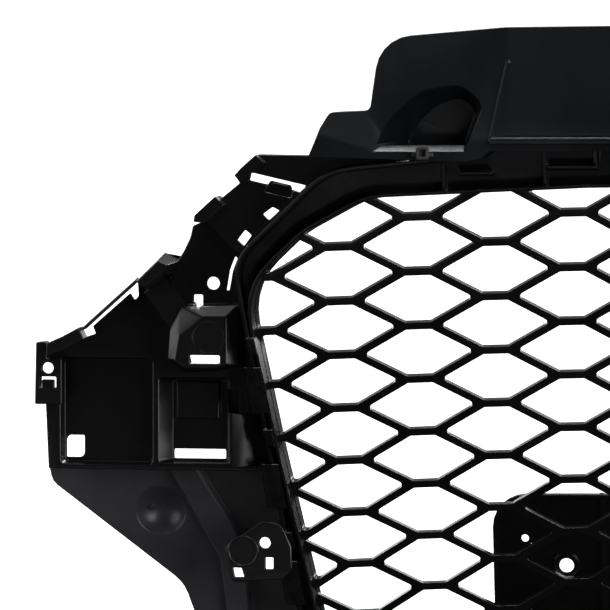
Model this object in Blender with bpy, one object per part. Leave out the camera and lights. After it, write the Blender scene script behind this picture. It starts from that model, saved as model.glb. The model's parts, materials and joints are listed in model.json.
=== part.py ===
"""Front grille assembly for a car: honeycomb mesh, surround, carrier, air guide, side brackets,
number plate bracket and fasteners.

Lengths are millimetres until an object is finished, then metres.  +Z is up, the show side faces -Y
and the mounting side faces +Y.  "left" is the vehicle's left, which is +X.
"""
import bpy
import bmesh
import math

for old in list(bpy.data.objects):
    bpy.data.objects.remove(old, do_unlink=True)

# ---------------------------------------------------------------- driving dimensions (mm)
MM = 0.001
DATUM_Y = 19.4            # shifts the assembly so that its box is centred front to back
MID_Z = 235.0             # height at which the raked face passes through the datum plane
SWEEP_R = 1450.0          # plan radius of the face of the grille
RAKE = 0.25               # the face leans back by this much per unit of height
CHORD_ERROR = 0.2         # how far a faceted arc may stray from the true one

COLUMN_PITCH = 42.42      # honeycomb lattice, at its middle row
ROW_PITCH = 30.75
ROW_GROWTH = 0.075        # the rows open up towards the top
COLUMN_LEAN = (-0.332, 0.059, -0.0326)   # the columns draw together towards the bottom
CROWN = 0.0921            # the rows rise towards the middle
FIRST_ROW_Z = 306.25      # cell centres of the odd columns
LEVEL_SHARE = 0.176       # half length of the level bar, as a share of the column pitch
BAR_WIDTH = 4.15
DRAW_DISTANCE = 2540.0    # the cell walls run along lines from a point this far behind the mesh
DRAW_Z = 157.6            # and at this height
MESH_FRONT = -3.0
MESH_REAR = 7.0

RIM = 3.6                 # mesh rim beyond the opening
GAP = 0.4                 # clearance between neighbouring mouldings
WALL = 2.5                # moulded wall thickness
PLATE = 3.0               # moulded plate thickness

CARRIER_FRONT = 7.4
CARRIER_FLOOR = 10.3
CARRIER_REAR = 22.0
TRIM_FRONT = -38.0

GUIDE_FRONT = 77.0        # air guide, before the sweep is added
GUIDE_REAR = 80.0
GUIDE_SKIRT = 57.0
GUIDE_LEAN = 0.32         # rearward lean of the air guide above its foot
GUIDE_FOOT_Z = 452.0
GUIDE_FOLD = 6.0          # how gently the lean sets in above the foot

BASE = 70.0               # rear face of the side bracket base plate
POCKET = 60.0             # floor of the square recess
SLOT_POCKET = 63.0        # floor of the second recess
PIT = 58.0                # floor of the pit beside it
ISLAND = 66.0             # raised box in the second recess
SHELF = 78.0              # rear face of the shelf above the boss
BOSS = 92.0               # top of the six sided boss
ARM = 84.0
CORNER = 92.0             # rear face of the corner bracket
BLOCK = 98.0
WINDOW = (359.3, 424.0)   # corner of the snap window in the corner bracket
WINDOW_SLOPE = math.radians(12.9)

PANEL_Y = 45.0            # lower wing panel, a tilted plane
PANEL_RISE = 0.18
PANEL_SPLAY = 0.10
SENSOR_REAR = 78.0

UPPER_RIVET = (125.0, 441.3)
LOWER_RIVET = (365.0, 103.0)
RIVET_HOLE = 3.6
DISH = (449.7, 238.4)     # round dish in the lower wing
DISH_RADIUS = 14.5
DISH_DEPTH = 8.0

PLATE_FRONT = -34.0       # number plate bracket, parallel to the rake
PLATE_REAR = -31.0
PLATE_HALF = 264.2
SCREW_RECESS = -30.0      # floor of the recess that keeps the screw heads below the plate's seat

# ---------------------------------------------------------------- outlines, x and z with a corner radius


def closed(half):
    """Mirror the half outline given from top centre to bottom centre."""
    other = [(-p[0],) + tuple(p[1:]) for p in reversed(half) if p[0] > 0.0]
    return list(half) + other


def rounded(points, fixed=0):
    """Replace each corner that carries a radius by an arc, of a fixed number of pieces when given."""
    out = []
    count = len(points)
    for i, point in enumerate(points):
        bx, bz = point[0], point[1]
        radius = point[2] if len(point) > 2 else 0.0
        if radius <= 0.0:
            out.append((bx, bz))
            continue
        ax, az = points[i - 1][:2]
        cx, cz = points[(i + 1) % count][:2]
        la = math.hypot(ax - bx, az - bz)
        lc = math.hypot(cx - bx, cz - bz)
        ux, uz = (ax - bx) / la, (az - bz) / la
        vx, vz = (cx - bx) / lc, (cz - bz) / lc
        half = math.acos(max(-1.0, min(1.0, ux * vx + uz * vz))) / 2.0
        reach = min(radius / math.tan(half), 0.48 * la, 0.48 * lc)
        radius = reach * math.tan(half)
        mx, mz = ux + vx, uz + vz
        scale = radius / math.sin(half) / math.hypot(mx, mz)
        ox, oz = bx + mx * scale, bz + mz * scale
        start = math.atan2(bz + uz * reach - oz, bx + ux * reach - ox)
        end = math.atan2(bz + vz * reach - oz, bx + vx * reach - ox)
        turn = (end - start + math.pi) % (2.0 * math.pi) - math.pi
        step = 2.0 * math.acos(max(0.0, 1.0 - CHORD_ERROR / radius))
        pieces = fixed or max(1, math.ceil(abs(turn) / step))
        for k in range(pieces + 1):
            angle = start + turn * k / pieces
            out.append((ox + radius * math.cos(angle), oz + radius * math.sin(angle)))
    return out


def area(points):
    total = 0.0
    for (ax, az), (bx, bz) in zip(points, points[1:] + points[:1]):
        total += ax * bz - bx * az
    return total / 2.0


def offset(points, distance):
    """Grow a closed outline by a distance, or shrink it when the distance is negative."""
    sign = 1.0 if area(points) > 0.0 else -1.0
    out = []
    count = len(points)
    for i, (bx, bz) in enumerate(points):
        ax, az = points[i - 1]
        cx, cz = points[(i + 1) % count]
        n1 = (bz - az, ax - bx)
        n2 = (cz - bz, bx - cx)
        l1, l2 = math.hypot(*n1), math.hypot(*n2)
        n1 = (n1[0] / l1, n1[1] / l1)
        n2 = (n2[0] / l2, n2[1] / l2)
        mx, mz = n1[0] + n2[0], n1[1] + n2[1]
        dot = max(0.35, (1.0 + n1[0] * n2[0] + n1[1] * n2[1]))
        out.append((bx + sign * distance * mx / dot, bz + sign * distance * mz / dot))
    return out


def stations(points):
    """Add a point wherever the outline crosses one of the planes the bent parts are sliced at."""
    out = []
    for start, end in zip(points, points[1:] + points[:1]):
        steps = []
        for axis, value in FACE_SLICES:
            k = 0 if axis == 'X' else 1
            if min(start[k], end[k]) < value - 0.5 and max(start[k], end[k]) > value + 0.5:
                steps.append((value - start[k]) / (end[k] - start[k]))
        out.append(start)
        for t in sorted(steps):
            out.append((start[0] + (end[0] - start[0]) * t, start[1] + (end[1] - start[1]) * t))
    return out


def circle(cx, cz, radius, count=12):
    turn = 2.0 * math.pi / count
    return [(cx + radius * math.cos(turn * k), cz + radius * math.sin(turn * k)) for k in range(count)]


def rectangle(x0, z0, x1, z1, radius=0.0):
    return rounded([(x0, z0, radius), (x1, z0, radius), (x1, z1, radius), (x0, z1, radius)])


def strip(x0, z0, x1, z1, width):
    """A straight bar of given width between two points."""
    length = math.hypot(x1 - x0, z1 - z0)
    nx, nz = (z0 - z1) / length * width / 2.0, (x1 - x0) / length * width / 2.0
    return [(x0 + nx, z0 + nz), (x1 + nx, z1 + nz), (x1 - nx, z1 - nz), (x0 - nx, z0 - nz)]


FACE_SLICES = [('X', 48.0 * k) for k in range(-8, 9)] + [('Z', 35.0 + 60.0 * k) for k in range(7)]
OPENING = rounded(closed([(0, 429.3), (200, 427.0), (322, 421.4, 40), (357.6, 401.7, 40), (390, 370.3, 40),
                          (374.4, 276), (330, 40, 34), (0, 34)]))
CARRIER = rounded(closed([(0, 453), (252, 451.5), (258, 446.8), (344, 438.2, 40), (397.4, 386.2, 28),
                          (346, 30, 40), (0, 25)]))
GUIDE = rounded(closed([(0, 520.0), (243, 517.0), (311.2, 511.0, 22), (318.4, 471, 3), (340.2, 470, 4),
                        (346, 461), (352.5, 445.3), (268, 441.8), (258.6, 443.6), (254, 448), (0, 448)]))
ARCH_RIM = rounded([(317, 446.5), (309, 465, 22), (291, 482, 22), (268, 485.5, 12), (256, 474, 8),
                    (267.5, 446.5)], fixed=3)
ARCH_MID = rounded([(316, 451.5), (308, 465, 22), (290, 481, 22), (268, 484.5, 12), (256.8, 474, 8),
                    (267.5, 451.5)], fixed=3)
ARCH_FLOOR = rounded([(300, 453), (294, 464, 20), (284, 474, 20), (270, 479, 10), (261.5, 471, 7),
                      (268.5, 453)], fixed=3)


def wall_x(z):
    """Outer face of the carrier side wall."""
    return 346.0 + (397.4 - 346.0) * (z - 30.0) / (386.2 - 30.0)


def by_window(points):
    """Points given along and across the snap window of the corner bracket."""
    along, up = math.cos(WINDOW_SLOPE), math.sin(WINDOW_SLOPE)
    x, z = WINDOW
    return [(x + u * along - v * up, z + u * up + v * along) for u, v in points]


def along_wall(z0, z1, inner, outer):
    """Outline that follows the carrier side wall, between two distances from its outer face."""
    low, high = wall_x(z0), wall_x(z1)
    return [(low + inner, z0), (low + outer, z0), (high + outer, z1), (high + inner, z1)]


# ---------------------------------------------------------------- solids


def skin(rings):
    """Closed solid through rings of equal length."""
    mesh = bpy.data.meshes.new("solid")
    bm = bmesh.new()
    rings = [[bm.verts.new(point) for point in ring] for ring in rings]
    count = len(rings[0])
    for lower, upper in zip(rings, rings[1:]):
        for i in range(count):
            j = (i + 1) % count
            bm.faces.new((lower[i], lower[j], upper[j], upper[i]))
    bm.faces.new(list(reversed(rings[0])))
    bm.faces.new(rings[-1])
    bmesh.ops.recalc_face_normals(bm, faces=bm.faces)
    bm.to_mesh(mesh)
    bm.free()
    solid = bpy.data.objects.new("solid", mesh)
    bpy.context.scene.collection.objects.link(solid)
    return solid


def loft(levels):
    """Solid through outlines of equal length; levels are (y, outline) from front to rear."""
    return skin([[(x, y, z) for x, z in points] for y, points in levels])


def prism(points, front, rear):
    return loft([(front, points), (rear, points)])


def run_up_wall(section, low, high):
    """Solid whose section, given across the carrier side wall and in depth, runs up along the wall."""
    return skin([[(wall_x(z) + across, y, z) for across, y in section] for z in (low, high)])


def drafted(points, front, rear, draft):
    """Prism whose rear outline is smaller than its front outline by the draft."""
    return loft([(front, points), (rear, offset(points, -draft))])


def discard(solid):
    mesh = solid.data
    bpy.data.objects.remove(solid, do_unlink=True)
    if mesh.users == 0:
        bpy.data.meshes.remove(mesh)


def is_closed(mesh):
    bm = bmesh.new()
    bm.from_mesh(mesh)
    good = len(bm.faces) > 3 and all(edge.is_manifold for edge in bm.edges)
    bm.free()
    return good


def combine(base, tool, operation):
    """Boolean of two solids; the second solver is used only where the first leaves an open result."""
    modifier = base.modifiers.new("boolean", 'BOOLEAN')
    modifier.operation = operation
    modifier.object = tool
    for solver in ('EXACT', 'MANIFOLD'):
        modifier.solver = solver
        graph = bpy.context.evaluated_depsgraph_get()
        result = bpy.data.meshes.new_from_object(base.evaluated_get(graph))
        if is_closed(result):
            break
    base.modifiers.clear()
    old_mesh = base.data
    base.data = result
    bpy.data.meshes.remove(old_mesh)
    discard(tool)
    return base


def add(base, *tools):
    for tool in tools:
        base = combine(base, tool, 'UNION')
    return base


def cut(base, *tools):
    for tool in tools:
        base = combine(base, tool, 'DIFFERENCE')
    return base


def keep(base, tool):
    return combine(base, tool, 'INTERSECT')


def gather(solids):
    """Join separate solids into one object."""
    bm = bmesh.new()
    for solid in solids:
        bm.from_mesh(solid.data)
    mesh = bpy.data.meshes.new("solid")
    bm.to_mesh(mesh)
    bm.free()
    for solid in solids:
        discard(solid)
    joined = bpy.data.objects.new("solid", mesh)
    bpy.context.scene.collection.objects.link(joined)
    return joined


# ---------------------------------------------------------------- surfaces the flat parts are bent onto


def on_face(x, z):
    return x * x / (2.0 * SWEEP_R) + RAKE * (z - MID_Z)


def on_guide(x, z):
    height = max(0.0, z - GUIDE_FOOT_Z)
    return x * x / (2.0 * SWEEP_R) + GUIDE_LEAN * height * height / (height + GUIDE_FOLD)


def on_panel(x, z):
    return PANEL_Y + PANEL_RISE * (z - 262.0) + PANEL_SPLAY * (abs(x) - 440.0)


def on_rake(x, z):
    return RAKE * (z - MID_Z)


def finish(solid, name, colour, roughness, metallic=0.0, bend=None, slices=(), origin=(0.0, 0.0, 0.0),
           mirror=False, keep_stations=False):
    """Bend, scale and name a solid and give it its own material."""
    bm = bmesh.new()
    bm.from_mesh(solid.data)
    bmesh.ops.remove_doubles(bm, verts=bm.verts, dist=0.002)
    straight = [] if keep_stations else bm.verts
    bmesh.ops.dissolve_limit(bm, angle_limit=math.radians(0.2), verts=straight, edges=bm.edges)
    for axis, value in slices:
        point = (value, 0.0, 0.0) if axis == 'X' else (0.0, 0.0, value)
        normal = (1.0, 0.0, 0.0) if axis == 'X' else (0.0, 0.0, 1.0)
        geometry = bm.verts[:] + bm.edges[:] + bm.faces[:]
        bmesh.ops.bisect_plane(bm, geom=geometry, plane_co=point, plane_no=normal, dist=1e-4)
    bmesh.ops.triangulate(bm, faces=bm.faces)
    if bend:
        level = [edge for edge in bm.edges if edge.is_manifold and edge.calc_face_angle() < 0.001]
        bmesh.ops.beautify_fill(bm, faces=bm.faces, edges=level)
    side = -1.0 if mirror else 1.0
    ox, oy, oz = origin
    for vert in bm.verts:
        x, y, z = vert.co
        if bend:
            y += bend(x, z)
        vert.co = (side * (x - ox) * MM, (y - oy) * MM, (z - oz) * MM)
    if mirror:
        bmesh.ops.reverse_faces(bm, faces=bm.faces)
    mesh = bpy.data.meshes.new(name)
    bm.to_mesh(mesh)
    bm.free()
    mesh.shade_smooth()
    mesh.set_sharp_from_angle(angle=math.radians(32.0))
    part = bpy.data.objects.new(name, mesh)
    part.location = (side * ox * MM, (oy - DATUM_Y) * MM, oz * MM)
    bpy.context.scene.collection.objects.link(part)
    material = bpy.data.materials.new(name + "_material")
    material.use_nodes = True
    shader = material.node_tree.nodes["Principled BSDF"]
    shader.inputs["Base Color"].default_value = (*colour, 1.0)
    shader.inputs["Roughness"].default_value = roughness
    shader.inputs["Metallic"].default_value = metallic
    mesh.materials.append(material)
    return part


def finish_pair(solid, name, colour, roughness, metallic=0.0, bend=None, slices=(), origin=(0.0, 0.0, 0.0)):
    """Left part as modelled and right part mirrored, each its own object."""
    finish(solid, name + "_left", colour, roughness, metallic, bend, slices, origin)
    finish(solid, name + "_right", colour, roughness, metallic, bend, slices, origin, mirror=True)
    discard(solid)


GLOSS_BLACK = (0.012, 0.012, 0.013)
CARRIER_BLACK = (0.016, 0.016, 0.018)
BRACKET_BLACK = (0.014, 0.014, 0.015)
PANEL_BLACK = (0.020, 0.021, 0.024)
STEEL = (0.55, 0.56, 0.58)
NYLON = (0.020, 0.020, 0.020)


# ---------------------------------------------------------------- honeycomb mesh


def lattice(column, row):
    """Place of a point counted in columns from the middle and in rows from the first row."""
    lean, spread, curl = COLUMN_LEAN
    pitch = COLUMN_PITCH + (lean + spread * abs(column)) * row + curl * row * row
    return column * pitch, FIRST_ROW_Z + ROW_PITCH * row + ROW_GROWTH * row * row - CROWN * column ** 2


def cell(column, row):
    """Outline of one cell at the mounting side; the sharp corners point left and right."""
    tip, flat = 1.0 - LEVEL_SHARE, LEVEL_SHARE
    corners = [(tip, 0.0), (flat, 0.5), (-flat, 0.5), (-tip, 0.0), (-flat, -0.5), (flat, -0.5)]
    return offset([lattice(column + c, row + r) for c, r in corners], -BAR_WIDTH / 2.0)


def drawn(points, depth):
    """The cell's outline at a depth in front of the mounting side."""
    growth = 1.0 + depth / DRAW_DISTANCE
    return [(x * growth, DRAW_Z + (z - DRAW_Z) * growth) for x, z in points]


def touches(points, boundary):
    """True when a point of the outline lies inside the boundary."""
    for x, z in points:
        inside = False
        for (ax, az), (bx, bz) in zip(boundary, boundary[1:] + boundary[:1]):
            if (az > z) != (bz > z) and x < ax + (z - az) * (bx - ax) / (bz - az):
                inside = not inside
        if inside:
            return True
    return False


SCREW_POINTS = [lattice(column, row) for column in (-3, 3) for row in (-2.5, -4.5)]

cells = []
for column in range(-9, 10):
    for count in range(-9, 5):
        row = count - 0.5 * (1 - column % 2)
        points = cell(column, row)
        if touches(points, offset(OPENING, -2.5)):
            cells.append(loft([(MESH_FRONT - 2.0, drawn(points, MESH_REAR - MESH_FRONT + 2.0)),
                               (MESH_REAR, points), (MESH_REAR + 2.0, points)]))
holes = keep(gather(cells), prism(stations(OPENING), MESH_FRONT - 1.0, MESH_REAR + 1.0))
mesh_body = cut(prism(stations(offset(OPENING, RIM)), MESH_FRONT, MESH_REAR), holes)
for sx, sz in SCREW_POINTS:
    mesh_body = add(mesh_body, prism(circle(sx, sz, 5.2, 12), -16.0, 6.0))
for sx, sz in SCREW_POINTS:
    mesh_body = cut(mesh_body, prism(circle(sx, sz, 2.1, 12), -18.0, 2.0))
finish(mesh_body, "honeycomb_mesh", GLOSS_BLACK, 0.22, bend=on_face, keep_stations=True)
discard(mesh_body)

# ---------------------------------------------------------------- surround trim on the show side

trim = loft([(TRIM_FRONT, offset(OPENING, 12.0)), (-34.0, offset(OPENING, 14.0)),
             (-21.0, offset(OPENING, 5.6)), (7.0, offset(OPENING, 5.6))])
bore = loft([(TRIM_FRONT - 1.0, offset(OPENING, 9.5)), (-33.0, offset(OPENING, 7.0)),
             (-9.5, offset(OPENING, 0.5)), (8.0, offset(OPENING, 0.5))])
trim = cut(trim, bore, prism(offset(OPENING, RIM + GAP), MESH_FRONT - GAP, 8.0))
finish(trim, "surround_trim", GLOSS_BLACK, 0.16, bend=on_face, slices=FACE_SLICES)
discard(trim)

# ---------------------------------------------------------------- carrier frame on the mounting side

carrier = prism(CARRIER, CARRIER_FRONT, CARRIER_REAR)
channel = cut(prism(offset(CARRIER, -WALL), CARRIER_FLOOR, CARRIER_REAR + 2.0),
              prism(offset(OPENING, 2.3), CARRIER_FLOOR - 1.0, CARRIER_REAR + 3.0))
ribs = []
for k in range(-5, 6):
    ribs.append(prism(rectangle(56.0 * k - 1.0, 425.0, 56.0 * k + 1.0, 460.0), 9.0, 18.0))
    ribs.append(prism(rectangle(56.0 * k - 1.0, 20.0, 56.0 * k + 1.0, 46.0), 9.0, 18.0))
for k in range(7):
    low = 84.0 + 42.0 * k
    for side in (-1.0, 1.0):
        ribs.append(prism(rectangle(side * 365.0 - 45.0, low, side * 365.0 + 45.0, low + 2.0), 9.0, 18.0))
channel = cut(channel, gather(ribs))
carrier = cut(carrier, channel)
for side in (-1.0, 1.0):
    for mid in (338.0, 285.0, 225.0, 150.0):
        catch = [(side * x, z) for x, z in along_wall(mid - 5.0, mid + 5.0, -5.5, -0.6)]
        carrier = add(carrier, prism(catch, 9.0, CARRIER_REAR + 3.0))
    shelf, hook = side * 209.0, side * 262.0
    carrier = add(carrier, prism(rectangle(shelf - 14.0, 437.5, shelf + 14.0, 440.0), 9.0, 20.0),
                  prism(rectangle(shelf - 14.0, 437.5, shelf - 11.5, 449.0), 9.0, 16.0),
                  prism(rectangle(hook - 9.0, 434.0, hook + 9.0, 436.5), 9.0, 20.0))
carrier = cut(carrier, prism(offset(OPENING, 0.3), 0.0, 30.0))
for side in (-1.0, 1.0):
    lower_tab = rounded([(side * 132.0, 30), (side * 132.0, 0, 6), (side * 168.0, 0, 6), (side * 168.0, 30)])
    side_tab = rounded([(side * 346.0, 90), (side * 374.0, 92, 6), (side * 376.0, 114, 6),
                        (side * 349.0, 114)])
    carrier = add(carrier, prism(circle(side * UPPER_RIVET[0], UPPER_RIVET[1], 7.0), 9.0, 23.0),
                  prism(lower_tab, CARRIER_FRONT, CARRIER_FLOOR),
                  prism(side_tab, CARRIER_FRONT, CARRIER_FLOOR))
    for x, z, radius in ((*UPPER_RIVET, RIVET_HOLE), (150.0, 12.0, 3.5), (*LOWER_RIVET, RIVET_HOLE)):
        carrier = cut(carrier, prism(circle(side * x, z, radius), 0.0, 30.0))
finish(carrier, "carrier_frame", CARRIER_BLACK, 0.26, bend=on_face, slices=FACE_SLICES)
discard(carrier)

# ---------------------------------------------------------------- air guide above the grille

guide = prism(GUIDE, GUIDE_SKIRT, GUIDE_REAR)
guide = cut(guide, prism(offset(GUIDE, -PLATE), GUIDE_SKIRT - 1.0, GUIDE_FRONT))
guide = cut(guide, prism(offset(CARRIER, 1.5), GUIDE_SKIRT - 2.0, GUIDE_FRONT - 0.01))
for side in (-1.0, 1.0):
    rim, mid, floor = [[(side * x, z) for x, z in level] for level in (ARCH_RIM, ARCH_MID, ARCH_FLOOR)]
    guide = add(guide, loft([(59.0, offset(floor, 2.3)), (78.5, offset(mid, 2.3))]))
    guide = cut(guide, loft([(61.5, floor), (GUIDE_FRONT, mid), (GUIDE_REAR + 1.0, rim)]))
    guide = add(guide, prism(strip(side * 242.0, 498.0, side * 253.0, 453.0, 2.2), 79.0, 82.0))
    rivet_x = side * UPPER_RIVET[0]
    ear_edge = rectangle(rivet_x - 11.0, 433.0, rivet_x + 11.0, 450.0, 5.0)
    guide = add(guide, prism(ear_edge, GUIDE_FRONT, GUIDE_REAR))
    guide = cut(guide, prism(circle(rivet_x, UPPER_RIVET[1], RIVET_HOLE), 70.0, 90.0))
guide = add(guide, prism(rectangle(-253.0, 452.0, 253.0, 455.5), 79.0, 84.0))
guide_slices = [('X', 60.0 * k) for k in range(-5, 6)]
guide_slices += [('Z', GUIDE_FOOT_Z + rise) for rise in (0.0, 6.0, 14.0, 30.0)]
finish(guide, "air_guide", PANEL_BLACK, 0.24, bend=on_guide, slices=guide_slices)
discard(guide)

clip = prism(rectangle(286.6, 443.5, 293.1, 450.5, 1.0), GUIDE_REAR + GAP, 86.0)
clip = add(clip, prism(rectangle(284.1, 445.0, 295.6, 447.5), GUIDE_REAR + GAP, 83.5))
clip = cut(clip, prism(rectangle(288.1, 445.2, 291.6, 449.0), 83.0, 87.0))
finish_pair(clip, "guide_clip", NYLON, 0.35, bend=on_guide)

# ---------------------------------------------------------------- side bracket

bracket_edge = rounded([(510, 264.5), (511.5, 300.5, 2), (511.5, 331), (503, 333.5), (489, 340),
                        (482.4, 342.2), (484.1, 346.5), (462.4, 365.6), (459.7, 361.6), (457.5, 363.9),
                        (458, 373), (443, 386), (434, 384), (430.5, 379), (430.5, 356), (370, 356),
                        (370, 264.5)])
shelf_edge = rounded([(437, 353.5), (437, 378), (433.5, 384.5), (429.8, 390.5, 8), (426.2, 398, 6),
                      (424.8, 404.5), (420.5, 406.5), (414.5, 408.5), (397, 390), (370, 380), (370, 353.5)])
bracket = prism(bracket_edge, BASE - PLATE, BASE)
bracket = add(bracket, prism(shelf_edge, SHELF - PLATE, SHELF),
              prism(rectangle(385.0, 353.0, 438.0, 356.0), BASE - PLATE, SHELF))
arm_edge = [(453, 367), (440, 377), (424, 352), (436, 344)]
boss_edge = rounded([(439, 329), (438.4, 346), (430, 360.5, 4), (396.6, 361.5), (396.6, 324.8),
                     (411, 322), (430, 321, 5)], fixed=3)
boss_shoulder = rounded([(437.6, 329), (436.4, 345.6), (428.8, 359.2, 4), (397.2, 360.4), (397.2, 325.4),
                         (411, 322.6), (429.4, 321.8, 5)], fixed=3)
boss_top = rounded([(433.0, 329), (430.5, 343), (417, 354, 4), (403.6, 354), (403.6, 327), (409, 324.8),
                    (427, 324.8, 5)], fixed=3)
bracket = add(bracket, drafted(arm_edge, BASE - PLATE, ARM, 0.8),
              loft([(BASE - PLATE, boss_edge), (BOSS - 4.5, boss_shoulder), (BOSS, boss_top)]))
bracket = cut(bracket, drafted(offset(arm_edge, -WALL), BASE - 8.0, ARM - WALL, 0.8),
              loft([(BASE - 8.0, offset(boss_edge, -WALL)), (BOSS - WALL, offset(boss_top, -WALL))]))
square_rim = rectangle(449.5, 267.0, 503.0, 328.5, 3.0)
square_floor = rectangle(450.5, 268.0, 502.4, 327.5, 3.0)
second_rim = rectangle(405.0, 268.4, 447.2, 317.5, 2.0)
second_floor = rectangle(406.5, 269.4, 438.8, 316.5, 2.0)
island = rectangle(411.0, 293.2, 436.7, 315.6, 1.5)
pit = rectangle(399.4, 297.5, 406.5, 310.5)
ramp = loft([(57.0, rectangle(380, 266.5, 405, 297)), (60.0, rectangle(380, 266.5, 405, 297)),
             (BASE, rectangle(403.5, 266.5, 405, 297))])
under_ramp = loft([(52.0, rectangle(370, 269, 402.5, 294.5)), (57.0, rectangle(378.5, 269, 402.5, 294.5)),
                   (66.5, rectangle(401, 269, 402.5, 294.5))])
square_box = [(POCKET - WALL, offset(square_floor, 1.0)), (BASE - 0.5, offset(square_rim, 2.0))]
second_box = [(SLOT_POCKET - WALL, offset(second_floor, 1.0)), (BASE - 0.5, offset(second_rim, 2.0))]
bracket = add(bracket, loft(square_box), loft(second_box),
              prism(offset(pit, 2.0), PIT - 2.0, BASE - 1.0))
bracket = cut(bracket, prism(rectangle(370, 266.5, 404.5, 297), SLOT_POCKET, BASE + 1.0))
bracket = cut(add(bracket, ramp), under_ramp, prism(pit, PIT, BASE + 1.0))
bracket = cut(bracket, loft([(POCKET, square_floor), (BASE + 1.0, square_rim)]),
              loft([(SLOT_POCKET, second_floor), (BASE + 1.0, second_rim)]))
bracket = add(bracket, drafted(island, SLOT_POCKET - 2.0, ISLAND, 0.8))
bracket = cut(bracket, drafted(rectangle(414.0, 296.0, 434.0, 313.0), SLOT_POCKET - 6.0, ISLAND - WALL, 0.8))
bracket = cut(bracket, prism(offset(CARRIER, 0.5), 0.0, 150.0))
arc_slit = rounded([(400.5, 387.5), (403.5, 380, 10), (405.5, 368), (403.8, 368), (401.8, 379.5, 10),
                    (399, 386.5)])
window_edge = rounded([(491.0, 270.4, 2.5), (501.4, 270.4), (501.4, 283, 2.5), (491.0, 283)])
mark_ring = cut(prism(circle(413.5, 343.0, 9.4, 20), BOSS - 0.5, BOSS + 1.0),
                prism(circle(413.5, 343.0, 8.6, 20), BOSS - 2.0, BOSS + 2.0))
bracket = cut(bracket, prism(circle(413.0, 372.0, 3.75), 60.0, 90.0),
              prism(rectangle(419.0, 358.0, 424.2, 365.5), 60.0, 90.0), prism(arc_slit, 60.0, 90.0),
              prism(rectangle(407.2, 327.2, 424.2, 332.0), 60.0, 100.0),
              prism(rectangle(408.2, 270.7, 438.2, 276.2, 0.8), 50.0, 65.0),
              prism(window_edge, 50.0, 65.0),
              prism(circle(510.2, 322.2, 4.4), 60.0, 75.0),
              prism(rectangle(505.4, 311.0, 513.6, 318.6), 60.0, 75.0), mark_ring)
finish_pair(bracket, "side_bracket", BRACKET_BLACK, 0.24)

# ---------------------------------------------------------------- corner bracket

corner_edge = rounded([(421.5, 407.5), (421, 411), (409, 422), (406.5, 420.5), (395.5, 429.5), (398.5, 433.5),
                       (394.5, 438), (386, 445.5), (352, 445.3), (300, 442.8), (300, 430), (390, 386),
                       (399.5, 392.5), (416, 408.5)])
corner = prism(corner_edge, CORNER - PLATE, CORNER)
skirt = cut(prism(corner_edge, SHELF + GAP, CORNER), prism(offset(corner_edge, -WALL), SHELF, CORNER + 1.0))
lower_pad = [(421.5, 407.5), (421, 411), (409, 422), (403.5, 417), (414, 407)]
upper_pad = [(398.5, 433.5), (394.5, 438), (386, 445.5), (381, 441), (393, 430.5)]
tongue_box = by_window([(4.6, -6.4), (23.0, -6.4), (23.0, 0.0), (4.6, 0.0)])
tongue_room = by_window([(6.6, -4.2), (21.0, -4.2), (21.0, 0.5), (6.6, 0.5)])
corner = add(corner, skirt, prism(lower_pad, CORNER - 1.0, CORNER + 4.0),
             prism(upper_pad, CORNER - 1.0, CORNER + 3.0), prism(tongue_box, CORNER - 6.0, CORNER - 1.0))
lip = keep(prism(corner_edge, CORNER - 7.0, CORNER - 2.8), prism(offset(CARRIER, 2.5), 60.0, 120.0))
slit = strip(371.2, 411.9, 391.6, 393.4, 1.2)
lip = cut(lip, prism(offset(CARRIER, -4.0), 60.0, 120.0), prism(offset(OPENING, 6.1), 60.0, 120.0),
          prism(offset(slit, 0.5), 60.0, 120.0))
corner = cut(corner, prism(tongue_room, CORNER - 4.6, CORNER + 2.0),
             prism(by_window([(0, 0), (31.4, 0), (31.4, 4.4), (0, 4.4)]), 60.0, 120.0),
             prism([(377, 416), (373, 414), (379, 408.6), (382.5, 412)], 60.0, 120.0),
             prism([(392.5, 403.2), (388.8, 400), (393.2, 394), (397, 397.4)], 60.0, 120.0),
             prism(slit, 60.0, 120.0),
             prism(offset(CARRIER, 0.35), 0.0, 150.0))
corner = add(corner, lip)
finish_pair(corner, "corner_bracket", BRACKET_BLACK, 0.24)

# ---------------------------------------------------------------- headlamp rail

rail_end = [(508.2, 329.8), (508, 337.4), (499, 341.4), (489.3, 346.6), (486.2, 339.8), (498, 333.5)]
rail_hollow = [(506, 332), (506, 336), (498.5, 339), (490.5, 343.5), (489.2, 341), (498, 336)]
block_edge = [(458, 373.5), (442, 389), (431.5, 384.5), (436.5, 376), (449.5, 366.5)]
rail = cut(prism(rail_end, 73.0, 86.0), prism(rail_hollow, BASE, 83.5))
rail = add(rail, loft([(BASE + GAP, strip(488.6, 345.6, 457.0, 374.0, 2.4)),
                       (84.0, strip(488.1, 345.1, 456.5, 373.5, 1.0))]))
block = drafted(block_edge, BASE + GAP, BLOCK, 2.8)
block = cut(block, drafted(offset(block_edge, -WALL), BASE - 2.0, BLOCK - WALL, 2.6))
rail = add(rail, block)
rail = cut(rail, prism(offset(arm_edge, 0.5), BASE - 2.0, ARM + GAP),
           prism(offset(shelf_edge, 0.5), 60.0, SHELF + GAP))
finish_pair(rail, "headlamp_rail", BRACKET_BLACK, 0.22)

# ---------------------------------------------------------------- end bracket

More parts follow.
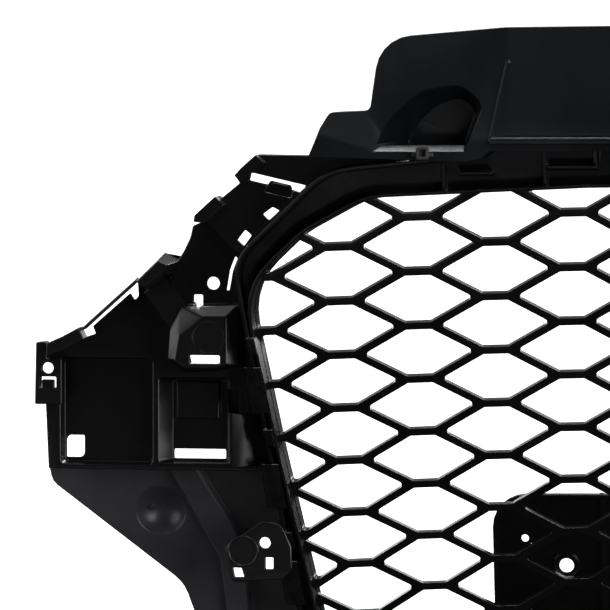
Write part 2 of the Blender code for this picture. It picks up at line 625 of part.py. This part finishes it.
ear_edge = rounded([(516, 302.2), (515.2, 337.6), (509.4, 338.2), (508.8, 328.4), (500.3, 328.2),
                    (500.3, 302.2)])
ear = prism(ear_edge, BASE + GAP, 80.0)
ear = cut(ear, prism(offset(ear_edge, -2.2), 60.0, 77.0), prism(circle(508.3, 323.0, 3.3), 60.0, 90.0),
          prism(rectangle(503.5, 316.4, 513.0, 318.0), 60.0, 90.0),
          prism(rectangle(503.5, 311.5, 504.7, 317.0), 60.0, 90.0),
          prism(rectangle(511.8, 311.5, 513.0, 317.0), 60.0, 90.0))
finish_pair(ear, "end_bracket", BRACKET_BLACK, 0.22)

# ---------------------------------------------------------------- lower wing

wing_edge = rounded([(513.5, 266.4), (511.8, 255.2, 9), (438, 195.3, 22), (432.6, 179), (430, 74, 24),
                     (330, 66), (330, 266.4)])
wing = prism(wing_edge, -PLATE, 0.0)
ridge = [(445.5, 265.6), (416.5, 211), (413, 178), (409, 78), (399, 78), (399, 180), (400, 215),
         (409, 234.5), (427.7, 265.6)]
wing = add(wing, drafted(ridge, -1.0, 6.0, 1.2))
border = cut(prism(wing_edge, -8.0, 0.0), prism(offset(wing_edge, -WALL), -9.0, 1.0))
wing = add(wing, border, prism(circle(*LOWER_RIVET, 6.5), -1.0, 9.0))
ball = (DISH_RADIUS ** 2 + DISH_DEPTH ** 2) / (2.0 * DISH_DEPTH)
hollow = []
for k in range(5):
    angle = math.asin(DISH_RADIUS / ball) * (0.12 + 0.22 * k)
    y = ball * (1.0 - math.cos(angle)) - DISH_DEPTH
    hollow.append((y, circle(*DISH, ball * math.sin(angle), 24)))
hollow.append((1.0, circle(*DISH, DISH_RADIUS, 24)))
shell = [(-DISH_DEPTH - WALL, circle(*DISH, 4.0, 24)), (-1.0, circle(*DISH, DISH_RADIUS + 2.0, 24))]
wing = cut(add(wing, loft(shell)), loft(hollow))
wing = add(wing, prism(circle(456.0, 240.0, 1.8, 12), -9.0, -4.6))
sensor_space = [(384, 224.5), (393.5, 224.5), (394.5, 214), (409.2, 206), (408.8, 198.4), (379, 198),
                (379, 217)]
wing = cut(wing, prism(offset(CARRIER, 2.2), -60.0, 60.0), prism(sensor_space, -20.0, 20.0),
           prism(circle(*LOWER_RIVET, RIVET_HOLE), -40.0, 40.0))
finish_pair(wing, "lower_wing", PANEL_BLACK, 0.28, bend=on_panel, slices=[('X', 470.0)])

# ---------------------------------------------------------------- sensor plate

sensor_edge = rounded([(407, 221.5, 4), (385, 237, 6), (374, 235.5, 8), (368.5, 222), (368, 209, 4),
                       (373, 204), (402.5, 201.5, 3)])
sensor = prism(sensor_edge, SENSOR_REAR - PLATE, SENSOR_REAR)
seat_ring = cut(prism(circle(396.0, 219.5, 8.9, 20), SENSOR_REAR - 1.0, SENSOR_REAR + 0.6),
                prism(circle(396.0, 219.5, 8.0, 20), SENSOR_REAR - 2.0, SENSOR_REAR + 1.0))
sensor = add(sensor, prism(circle(399.0, 224.0, 3.4, 16), 37.5, 76.0),
             prism(circle(379.2, 231.6, 2.4), 38.5, 76.0), seat_ring)
sensor = cut(sensor, prism(circle(383.5, 224.5, 3.3), 70.0, 85.0),
             prism(rectangle(378.7, 209.5, 383.2, 216.2), 70.0, 85.0),
             prism([(401.8, 210), (397, 210), (395.4, 204.8), (400.8, 204.6)], 70.0, 85.0))
finish_pair(sensor, "sensor_plate", BRACKET_BLACK, 0.20)

# ---------------------------------------------------------------- spring clips on the carrier wall

CLIP_OUTSIDE = [(1.0, 13.6), (4.4, 14.4), (6.2, 17.0), (5.6, 20.0), (4.2, 22.8), (1.6, 25.6), (-2.0, 26.4),
                (-5.6, 25.0)]
CLIP_INSIDE = [(-5.4, 24.1), (-2.0, 25.5), (1.2, 24.7), (3.4, 22.3), (4.7, 19.7), (5.2, 17.2), (3.9, 15.2),
               (0.8, 14.5)]
CLIP_HALF = 13.0

for index, mid in enumerate((313.0, 257.0, 200.0), start=1):
    spring = run_up_wall(CLIP_OUTSIDE + CLIP_INSIDE, mid - CLIP_HALF, mid + CLIP_HALF)
    finish_pair(spring, "spring_clip_%d" % index, STEEL, 0.30, 1.0, bend=on_face)

# ---------------------------------------------------------------- number plate bracket

plate_edge = rounded(closed([(0, 247.2), (PLATE_HALF, 243.6, 20), (PLATE_HALF, 132, 20), (0, 130)]))
holder = prism(plate_edge, PLATE_FRONT, PLATE_REAR)
holder = add(holder, cut(prism(plate_edge, PLATE_FRONT, -25.0),
                         prism(offset(plate_edge, -WALL), -40.0, -20.0)))
for sx, sz in SCREW_POINTS:
    holder = add(holder, prism(circle(sx, sz, 7.4, 16), -32.0, SCREW_RECESS + WALL),
                 prism(circle(sx, sz, 5.2, 12), -32.0, -11.6))
for side in (-1.0, 1.0):
    holder = add(holder, cut(prism(circle(side * 221.6, 200.4, 8.0), -32.0, -29.5),
                             prism(circle(side * 221.6, 200.4, 6.6), -36.0, -20.0)))
    holder = cut(holder, prism(circle(side * 221.6, 200.4, 4.4), -40.0, -20.0),
                 prism(circle(side * 245.8, 216.6, 2.3, 12), -40.0, -20.0),
                 prism(strip(side * 242.6, 213.2, side * 239.1, 211.6, 1.6), -40.0, -20.0))
    holder = add(holder, prism(rectangle(side * 200.0 - 1.2, 131.0, side * 200.0 + 1.2, 245.0), -32.0, -27.0))
for sx, sz in SCREW_POINTS:
    holder = cut(holder, prism(circle(sx, sz, 2.4, 12), -40.0, 0.0),
                 prism(circle(sx, sz, 5.2, 16), -40.0, SCREW_RECESS))
finish(holder, "plate_bracket", CARRIER_BLACK, 0.30, bend=on_rake)
discard(holder)

for index, (sx, sz) in enumerate(SCREW_POINTS, start=1):
    under = SCREW_RECESS - GAP
    head = [(under - 3.0, circle(sx, sz, 3.0)), (under - 2.0, circle(sx, sz, 4.4)),
            (under, circle(sx, sz, 4.4))]
    screw = add(loft(head), prism(circle(sx, sz, 1.7, 12), under - 1.0, 3.0))
    screw = cut(screw, prism(strip(sx - 1.9, sz, sx + 1.9, sz, 0.9), under - 5.0, under - 1.8),
                prism(strip(sx, sz - 1.9, sx, sz + 1.9, 0.9), under - 5.0, under - 1.8))
    finish(screw, "plate_screw_%d" % index, STEEL, 0.32, 1.0, bend=on_rake)
    discard(screw)

# ---------------------------------------------------------------- snap tongues in the corner windows

hinge_x, hinge_z = by_window([(13.8, -3.4)])[0]
tongue = prism(by_window([(7.0, -3.8), (20.6, -3.8), (20.6, 1.2), (19.4, 2.6), (8.2, 2.6), (7.0, 1.2)]),
               CORNER - 2.2, CORNER - 0.4)
tongue = add(tongue, prism(by_window([(9.5, 0.6), (18.1, 0.6), (18.1, 2.0), (9.5, 2.0)]),
                           CORNER - 1.0, CORNER + 1.4))
finish_pair(tongue, "snap_tongue", BRACKET_BLACK, 0.24, origin=(hinge_x, CORNER - 1.3, hinge_z))

# ---------------------------------------------------------------- push rivets


def rivet(name, x, z, seat, reach):
    """Expanding rivet body and its push pin; seat is the world y of the face under the flange."""
    body = add(loft([(seat + GAP, circle(x, z, 7.0)), (seat + 1.8, circle(x, z, 6.4))]),
               loft([(seat - reach, circle(x, z, 2.9)), (seat - reach + 4.0, circle(x, z, 3.25)),
                     (seat + 1.0, circle(x, z, 3.25))]))
    body = cut(body, prism(circle(x, z, 2.2), seat - reach - 2.0, seat + 4.0))
    finish_pair(body, name + "_body", NYLON, 0.40, origin=(x, seat, z))
    pin = add(prism(circle(x, z, 1.8), seat - reach + 1.0, seat + 3.0),
              loft([(seat + 2.2, circle(x, z, 4.4)), (seat + 3.6, circle(x, z, 3.6))]))
    finish_pair(pin, name + "_pin", NYLON, 0.32, origin=(x, seat, z))


rivet("upper_rivet", *UPPER_RIVET, on_guide(132.0, 441.3) + GUIDE_REAR, 24.0)
rivet("lower_rivet", *LOWER_RIVET, on_face(372.0, 110.0) + CARRIER_FLOOR, 20.0)
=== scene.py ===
"""Looks of the front grille: black mouldings with rounded edges, steel clips and screws, and a plain
white studio.  Lengths are metres; sizes given in millimetres are multiplied by MM or end in _mm."""
import json
import math

import bmesh
import bpy
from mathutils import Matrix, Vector


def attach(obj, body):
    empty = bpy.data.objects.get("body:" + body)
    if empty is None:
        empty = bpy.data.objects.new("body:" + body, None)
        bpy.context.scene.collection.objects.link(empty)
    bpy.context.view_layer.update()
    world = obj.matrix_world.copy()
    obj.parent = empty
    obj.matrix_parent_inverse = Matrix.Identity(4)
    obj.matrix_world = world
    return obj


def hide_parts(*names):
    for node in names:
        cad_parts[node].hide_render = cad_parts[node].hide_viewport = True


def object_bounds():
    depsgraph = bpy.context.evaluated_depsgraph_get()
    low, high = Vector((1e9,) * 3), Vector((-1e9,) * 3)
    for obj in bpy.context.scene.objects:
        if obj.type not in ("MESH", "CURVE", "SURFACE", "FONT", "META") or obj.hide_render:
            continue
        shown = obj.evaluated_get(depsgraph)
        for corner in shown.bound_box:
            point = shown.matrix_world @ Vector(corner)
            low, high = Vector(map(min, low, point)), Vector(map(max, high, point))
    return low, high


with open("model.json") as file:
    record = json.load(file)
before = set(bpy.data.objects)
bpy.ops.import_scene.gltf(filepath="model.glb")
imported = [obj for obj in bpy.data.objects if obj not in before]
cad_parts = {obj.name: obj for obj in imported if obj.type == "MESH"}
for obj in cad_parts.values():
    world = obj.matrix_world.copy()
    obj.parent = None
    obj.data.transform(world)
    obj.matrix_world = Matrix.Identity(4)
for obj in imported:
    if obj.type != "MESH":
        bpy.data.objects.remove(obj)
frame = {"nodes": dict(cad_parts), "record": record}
cad_low, cad_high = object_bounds()
MM = 0.001
RECORD = frame["record"]
BODY_OF = {node: body for body, members in RECORD["behaviour"]["bodies"].items() for node in members}
CENTRE = (cad_low + cad_high) / 2.0
WHITE = (1.0, 1.0, 1.0, 1.0)

# ---------------------------------------------------------------- node trees


class Tree:
    """The node tree of a material or a world, with a short call for each kind of node used here."""

    def __init__(self, owner, coordinates="Object"):
        owner.use_nodes = True
        self.owner = owner
        self.nodes = owner.node_tree.nodes
        self.links = owner.node_tree.links
        self.place = self.nodes.new("ShaderNodeTexCoord").outputs[coordinates]

    def feed(self, socket, value):
        """Link a node's output or set a plain value; None leaves the socket as it is."""
        if isinstance(value, bpy.types.NodeSocket):
            self.links.new(value, socket)
        elif value is not None:
            socket.default_value = value

    def principled(self, inputs):
        """Set the material's Principled BSDF by its inputs' names and return its output."""
        shader = self.nodes["Principled BSDF"]
        for name, value in inputs.items():
            self.feed(shader.inputs[name], value)
        return shader.outputs[0]

    def stretched(self, x, y, z):
        """The place, scaled: a smaller number draws the noise out along that axis."""
        node = self.nodes.new("ShaderNodeMapping")
        node.inputs["Scale"].default_value = (x, y, z)
        self.links.new(self.place, node.inputs["Vector"])
        return node.outputs["Vector"]

    def axis(self, letter):
        """One axis of the place."""
        node = self.nodes.new("ShaderNodeSeparateXYZ")
        self.links.new(self.place, node.inputs[0])
        return node.outputs[letter]

    def noise(self, size, detail=3.0, rough=0.5, where=None):
        """Noise whose features are about the given size in metres."""
        node = self.nodes.new("ShaderNodeTexNoise")
        node.inputs["Scale"].default_value = 1.0 / size
        node.inputs["Detail"].default_value = detail
        node.inputs["Roughness"].default_value = rough
        self.links.new(where or self.place, node.inputs["Vector"])
        return node.outputs["Fac"]

    def span(self, value, low, high, out_low, out_high):
        """Map low..high to out_low..out_high, held at both ends."""
        node = self.nodes.new("ShaderNodeMapRange")
        for socket, number in zip(node.inputs[1:5], (low, high, out_low, out_high)):
            socket.default_value = number
        self.feed(node.inputs[0], value)
        return node.outputs[0]

    def steps(self, value, stops):
        """Grey levels drawn in straight lines through the stops (position, level)."""
        node = self.nodes.new("ShaderNodeValToRGB")
        marks = node.color_ramp.elements
        for index, (position, level) in enumerate(stops):
            mark = marks[index] if index < len(marks) else marks.new(position)
            mark.position = position
            mark.color = (level, level, level, 1.0)
        self.feed(node.inputs[0], value)
        return node.outputs[0]

    def math(self, operation, a, b=None):
        node = self.nodes.new("ShaderNodeMath")
        node.operation = operation
        self.feed(node.inputs[0], a)
        self.feed(node.inputs[1], b)
        return node.outputs[0]

    def mix(self, share, a, b):
        """Blend two colours."""
        node = self.nodes.new("ShaderNodeMix")
        node.data_type = 'RGBA'
        self.feed(node.inputs[0], share)
        for socket, colour in zip(node.inputs[6:8], (a, b)):
            self.feed(socket, (*colour, 1.0) if isinstance(colour, tuple) else colour)
        return node.outputs[2]

    def bump(self, height, distance, strength=1.0, normal=None):
        node = self.nodes.new("ShaderNodeBump")
        node.inputs["Distance"].default_value = distance
        node.inputs["Strength"].default_value = strength
        self.links.new(height, node.inputs["Height"])
        self.feed(node.inputs["Normal"], normal)
        return node.outputs["Normal"]

    def glow(self, kind, strength):
        """White light from an emission or background node."""
        node = self.nodes.new(kind)
        node.inputs["Color"].default_value = WHITE
        self.feed(node.inputs["Strength"], strength)
        return node.outputs[0]

    def camera_or_rest(self, seen, felt, out):
        """Send the camera's own rays one shader and every reflection the other."""
        path = self.nodes.new("ShaderNodeLightPath")
        mix = self.nodes.new("ShaderNodeMixShader")
        self.links.new(path.outputs["Is Camera Ray"], mix.inputs[0])
        self.links.new(felt, mix.inputs[1])
        self.links.new(seen, mix.inputs[2])
        self.links.new(mix.outputs[0], out.inputs["Surface"])


# ---------------------------------------------------------------- materials

PLASTIC_IOR = 1.5
DUST = (0.16, 0.16, 0.165)
CLOUD_SIZE = 60.0 * MM      # slow changes of shade and gloss over a moulding
FLOW_SIZE = 12.0 * MM       # flow marks, drawn out upwards
GRAIN_SIZE = 0.9 * MM
DUST_SIZE = 3.5 * MM


def moulded(name, colour, roughness, grain=0.02, haze=0.06):
    """Injection moulded plastic: faint flow marks, fine grain and a haze of handling dust."""
    tree = Tree(bpy.data.materials.new(name))
    cloud = tree.noise(CLOUD_SIZE, 4.0, 0.55)
    flow = tree.noise(FLOW_SIZE, 3.0, 0.5, tree.stretched(1.0, 1.0, 0.25))
    fine = tree.noise(GRAIN_SIZE, 2.0, 0.6)
    dust = tree.noise(DUST_SIZE, 5.0, 0.7)
    lighter = tuple(c * 1.5 + 0.002 for c in colour)
    base = tree.mix(tree.span(cloud, 0.35, 0.7, 0.0, 1.0), colour, lighter)
    specks = tree.span(dust, 0.66, 0.80, 0.0, haze)
    base = tree.mix(specks, base, DUST)
    gloss = tree.math('ADD', tree.span(cloud, 0.3, 0.7, roughness - 0.03, roughness + 0.04), specks)
    normal = tree.bump(flow, 0.25 * MM, 0.35, tree.bump(fine, 0.06 * MM, grain * 10.0))
    tree.principled({"Base Color": base, "Roughness": gloss, "Normal": normal, "IOR": PLASTIC_IOR})
    return tree.owner


def spring_steel(name):
    """Blackened spring strip: fine rolling lines and a faint stain."""
    tree = Tree(bpy.data.materials.new(name))
    lines = tree.noise(0.6 * MM, 2.0, 0.6, tree.stretched(1.0, 1.0, 0.06))
    stain = tree.span(tree.noise(6.0 * MM), 0.4, 0.7, 0.0, 1.0)
    tree.principled({"Base Color": tree.mix(stain, (0.12, 0.12, 0.118), (0.08, 0.078, 0.072)),
                     "Metallic": 1.0,
                     "Roughness": tree.span(lines, 0.3, 0.7, 0.07, 0.16),
                     "Normal": tree.bump(lines, 0.04 * MM, 0.5)})
    return tree.owner


def zinc(name):
    """Bright zinc plating with fine mottling."""
    tree = Tree(bpy.data.materials.new(name))
    mottle = tree.noise(1.2 * MM, 3.0, 0.6)
    tree.principled({"Base Color": tree.mix(mottle, (0.66, 0.67, 0.69), (0.50, 0.51, 0.54)),
                     "Metallic": 1.0,
                     "Roughness": tree.span(mottle, 0.3, 0.7, 0.22, 0.4),
                     "Normal": tree.bump(mottle, 0.03 * MM, 0.4)})
    return tree.owner


GLOSS = moulded("gloss_black_plastic", (0.0025, 0.0025, 0.0031), 0.18, haze=0.02)
BRACKET = moulded("bracket_black_plastic", (0.0052, 0.0048, 0.0050), 0.22, haze=0.03)
GUIDE = moulded("guide_black_plastic", (0.0060, 0.0068, 0.0082), 0.20, haze=0.02)
WING = moulded("wing_black_plastic", (0.052, 0.051, 0.058), 0.32, haze=0.03)
NYLON = moulded("nylon", (0.014, 0.014, 0.0145), 0.42, grain=0.05)
STEEL = spring_steel("spring_steel")
ZINC = zinc("zinc_plate")

# ---------------------------------------------------------------- rounded edges on the CAD shapes

WELD = 0.01 * MM
FLAT_ANGLE = math.radians(0.5)      # two triangles closer than this to one plane are joined
SHARP_ANGLE = math.radians(28.0)    # edges sharper than this are rounded
CREASE_ANGLE = math.radians(50.0)   # edges still sharper than this stay creased in the shading
ROOM_SHARE = 0.4                    # a rounding takes at most this share of the shortest edge beside it
STRAIGHT_ON = 3.0                   # an edge that runs straight on counts as this many times longer
STRAIGHT_DOT = -0.8                 # and it does where two directions' dot product is below this
CORNER_REACH = 4.0 * MM             # how far from a cell's sharp corner its rounding starts
CORNER_ROOM = 1.15 * CORNER_REACH   # the shortest cell side on which that rounding fits
CORNER_SEGMENTS = 5
CORNER_ANGLE = math.radians(80.0)   # cell corners sharper than this are rounded
SIDE_ANGLE = math.radians(30.0)     # edges sharper than this bound a cell's side
ALONG_DEPTH = 0.97                  # least share of Y in the direction of an edge through the mesh


def clean_copy(name):
    """The CAD node's mesh, welded, with pairs of flat triangles made into quads."""
    bm = bmesh.new()
    bm.from_mesh(frame["nodes"][name].data)
    bmesh.ops.remove_doubles(bm, verts=bm.verts, dist=WELD)
    bmesh.ops.join_triangles(bm, faces=bm.faces, angle_face_threshold=FLAT_ANGLE,
                             angle_shape_threshold=math.pi)
    return bm


def room_at(vert, sharp):
    """How far an edge at this vertex can be rounded before it runs into something."""
    room = math.inf
    for edge in vert.link_edges:
        length = edge.calc_length()
        if edge in sharp:
            direction = (edge.other_vert(vert).co - vert.co).normalized()
            others = [e for e in vert.link_edges if e in sharp and e is not edge]
            if any(direction.dot((e.other_vert(vert).co - vert.co).normalized()) < STRAIGHT_DOT
                   for e in others):
                length *= STRAIGHT_ON
        room = min(room, length)
    return room


def bevel_weights(bm, width):
    """Each edge's share of the bevel width: none for flat edges, less where there is less room."""
    sharp = {edge for edge in bm.edges if edge.is_manifold and edge.calc_face_angle() > SHARP_ANGLE}
    rooms = {vert: room_at(vert, sharp) for edge in sharp for vert in edge.verts}
    weights = []
    for edge in bm.edges:
        room = min(rooms[vert] for vert in edge.verts) if edge in sharp else 0.0
        weights.append(min(1.0, ROOM_SHARE * room / width))
    return weights


def rounded_mesh(bm, name, width, segments):
    """Round the sharp edges and smooth the shading over them."""
    mesh = bpy.data.meshes.new(name)
    weights = bevel_weights(bm, width)
    bm.to_mesh(mesh)
    bm.free()
    layer = mesh.attributes.new("bevel_weight_edge", 'FLOAT', 'EDGE')
    layer.data.foreach_set("value", weights)
    mesh.shade_smooth()
    piece = bpy.data.objects.new(name, mesh)
    bpy.context.scene.collection.objects.link(piece)
    bevel = piece.modifiers.new("rounded_edges", 'BEVEL')
    bevel.limit_method = 'WEIGHT'
    bevel.width = width
    bevel.segments = segments
    bevel.use_clamp_overlap = False
    bevel.miter_outer = 'MITER_ARC' if segments > 2 else 'MITER_SHARP'
    graph = bpy.context.evaluated_depsgraph_get()
    result = bpy.data.meshes.new_from_object(piece.evaluated_get(graph))
    piece.modifiers.clear()
    piece.data = result
    bpy.data.meshes.remove(mesh)
    result.name = name
    result.shade_smooth()
    result.set_sharp_from_angle(angle=CREASE_ANGLE)
    shading = piece.modifiers.new("even_shading", 'WEIGHTED_NORMAL')
    shading.keep_sharp = True
    return piece


def show(piece, node, material):
    """Give a piece its material and let it stand for a CAD node on that node's body."""
    piece.data.materials.clear()
    piece.data.materials.append(material)
    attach(piece, BODY_OF[node])
    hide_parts(node)


def refine(node, material, width_mm=0.7, segments=2):
    """Put a copy with rounded edges in the CAD node's place."""
    show(rounded_mesh(clean_copy(node), node + "_finished", width_mm * MM, segments), node, material)


def refine_pair(stem, material, width_mm=0.7, segments=2):
    for side in ("left", "right"):
        refine(stem + "_" + side, material, width_mm, segments)


def corner_edges(bm):
    """Edges that run through the honeycomb at the sharp corners of its cells, where there is room."""
    found = []
    for edge in bm.edges:
        along = (edge.verts[1].co - edge.verts[0].co).normalized()
        if not edge.is_manifold or edge.is_convex or abs(along.y) < ALONG_DEPTH:
            continue
        if edge.calc_face_angle() < CORNER_ANGLE:
            continue
        beside = [other.calc_length() for vert in edge.verts for other in vert.link_edges
                  if other is not edge and other.is_manifold and other.calc_face_angle() > SIDE_ANGLE]
        if min(beside) > CORNER_ROOM:
            found.append(edge)
    return found


def honeycomb():
    """The mesh: the cell corners are rounded first, then the bars' edges."""
    bm = clean_copy("honeycomb_mesh")
    bmesh.ops.bevel(bm, geom=corner_edges(bm), offset=CORNER_REACH, offset_type='OFFSET',
                    segments=CORNER_SEGMENTS, profile=0.5, affect='EDGES', clamp_overlap=False)
    show(rounded_mesh(bm, "honeycomb_mesh_finished", 0.35 * MM, 2), "honeycomb_mesh", GLOSS)


def grille():
    """Every piece of the grille, large mouldings first."""
    honeycomb()
    refine("surround_trim", GLOSS, 0.8, 3)
    refine("carrier_frame", GLOSS, 0.6)
    refine("air_guide", GUIDE, 0.7, 3)
    refine("plate_bracket", BRACKET, 0.8)
    for index in range(1, 5):
        refine("plate_screw_%d" % index, ZINC, 0.35)
    for stem in ("side_bracket", "corner_bracket", "end_bracket", "headlamp_rail"):
        refine_pair(stem, BRACKET)
    refine_pair("lower_wing", WING)
    refine_pair("sensor_plate", BRACKET, 0.6)
    refine_pair("snap_tongue", BRACKET, 0.3)
    refine_pair("guide_clip", NYLON, 0.4)
    for stem in ("upper_rivet_body", "upper_rivet_pin", "lower_rivet_body", "lower_rivet_pin"):
        refine_pair(stem, NYLON, 0.4)
    for index in range(1, 4):
        refine_pair("spring_clip_%d" % index, STEEL, 0.2)


# ---------------------------------------------------------------- studio

FLOOR_REACH = 30.0
FLOOR_GAP = 0.5 * MM
FLOOR_SEEN = 0.75           # the floor's own light for the camera
FLOOR_FELT = 0.03           # and for reflections, outside the streaks
STREAK_SIZE = 0.11
STREAK_NEAR = (0.70, 0.90)  # the streaks fade in over these distances on the mounting side
STREAK_FAR = (1.3, 1.8)     # and out over these
SKY_SEEN = 1.15
SKY_FELT = 2.0
# the sky's level for reflections, from the show side (position 0) to the camera's side (position 1)
SKY_STOPS = ((0.0, 0.08), (0.22, 0.08), (0.36, 1.0), (0.56, 1.0), (0.78, 0.012), (1.0, 0.012))
HORIZON_HEIGHT = (0.08, 0.11)   # a bright band of this height lies along the show side's horizon
HORIZON_SIDE = (-0.4, 0.0)
# name, place, aim, width, height, watts
SOFTBOXES = (("top_softbox", (0.35, 0.30, 1.75), CENTRE, 1.8, 0.12, 12.0),
             ("left_softbox", (1.9, 1.0, 0.5), (0.45, 0.0, 0.35), 1.1, 1.4, 6.0),
             ("right_softbox", (-1.45, 1.05, 0.45), (0.4, 0.0, 0.35), 2.2, 1.4, 30.0),
             ("front_softbox", (-0.6, -2.2, 1.6), CENTRE, 1.4, 0.9, 22.0))
CAMERA_PLACE = (0.0, 2.5806, 0.518)
CAMERA_AIM = (0.363, 0.0406, 0.359)
CAMERA_LENS = 266.4
CAMERA_SENSOR = 36.0


def add_to_scene(thing, place):
    bpy.context.scene.collection.objects.link(thing)
    thing.location = place


def aim_at(thing, place, aim):
    thing.rotation_euler = (Vector(aim) - Vector(place)).to_track_quat('-Z', 'Y').to_euler()


def floor_material():
    """Pale for the camera; reflections see it dark, with a band of soft streaks on the mounting side."""
    tree = Tree(bpy.data.materials.new("studio_floor"))
    pale = tree.principled({"Base Color": (0.86, 0.86, 0.86, 1.0), "Roughness": 0.8,
                            "Emission Color": WHITE, "Emission Strength": FLOOR_SEEN})
    behind = tree.axis("Y")
    streaks = tree.noise(STREAK_SIZE, 2.0, 0.4, tree.stretched(1.0, 0.3, 1.0))
    band = tree.math('MULTIPLY', tree.span(behind, *STREAK_NEAR, 0.0, 1.0),
                     tree.span(behind, *STREAK_FAR, 1.0, 0.0))
    streaks = tree.math('MULTIPLY', tree.span(streaks, 0.45, 0.70, 0.0, 1.2), band)
    level = tree.math('ADD', streaks, FLOOR_FELT)
    tree.camera_or_rest(pale, tree.glow("ShaderNodeEmission", level), tree.nodes["Material Output"])
    return tree.owner


def studio_floor():
    mesh = bpy.data.meshes.new("floor")
    corners = [(-1, -1), (1, -1), (1, 1), (-1, 1)]
    mesh.from_pydata([(x * FLOOR_REACH, y * FLOOR_REACH, 0.0) for x, y in corners], [], [(0, 1, 2, 3)])
    mesh.materials.append(floor_material())
    floor = bpy.data.objects.new("studio_floor", mesh)
    add_to_scene(floor, (0.0, 0.0, cad_low.z - FLOOR_GAP))


def studio_sky():
    """White backdrop for the camera; reflections see it bright overhead and dim fore and aft."""
    world = bpy.data.worlds.new("studio")
    bpy.context.scene.world = world
    world.use_nodes = True
    world.node_tree.nodes.clear()
    tree = Tree(world, "Generated")
    toward_camera = tree.axis("Y")
    level = tree.steps(tree.span(toward_camera, -1.0, 1.0, 0.0, 1.0), SKY_STOPS)
    low_down = tree.span(tree.math('ABSOLUTE', tree.axis("Z")), *HORIZON_HEIGHT, 1.0, 0.0)
    horizon = tree.math('MULTIPLY', low_down, tree.span(toward_camera, *HORIZON_SIDE, 1.0, 0.0))
    felt = tree.math('MULTIPLY', tree.math('MAXIMUM', level, horizon), SKY_FELT)
    tree.camera_or_rest(tree.glow("ShaderNodeBackground", SKY_SEEN),
                        tree.glow("ShaderNodeBackground", felt),
                        tree.nodes.new("ShaderNodeOutputWorld"))


def softbox(name, place, aim, width, height, watts):
    light = bpy.data.lights.new(name, 'AREA')
    light.shape = 'RECTANGLE'
    light.size = width
    light.size_y = height
    light.energy = watts
    lamp = bpy.data.objects.new(name, light)
    add_to_scene(lamp, place)
    aim_at(lamp, place, aim)


def quarter_camera():
    """Long lens on the mounting side, aimed at the grille's upper left quarter."""
    lens = bpy.data.cameras.new("camera")
    lens.lens = CAMERA_LENS
    lens.sensor_width = CAMERA_SENSOR
    lens.clip_start = 0.1
    lens.clip_end = 100.0
    camera = bpy.data.objects.new("camera", lens)
    add_to_scene(camera, CAMERA_PLACE)
    aim_at(camera, CAMERA_PLACE, CAMERA_AIM)
    bpy.context.scene.camera = camera


grille()
studio_floor()
studio_sky()
for box in SOFTBOXES:
    softbox(*box)
quarter_camera()
bpy.context.scene.view_settings.view_transform = 'Standard'
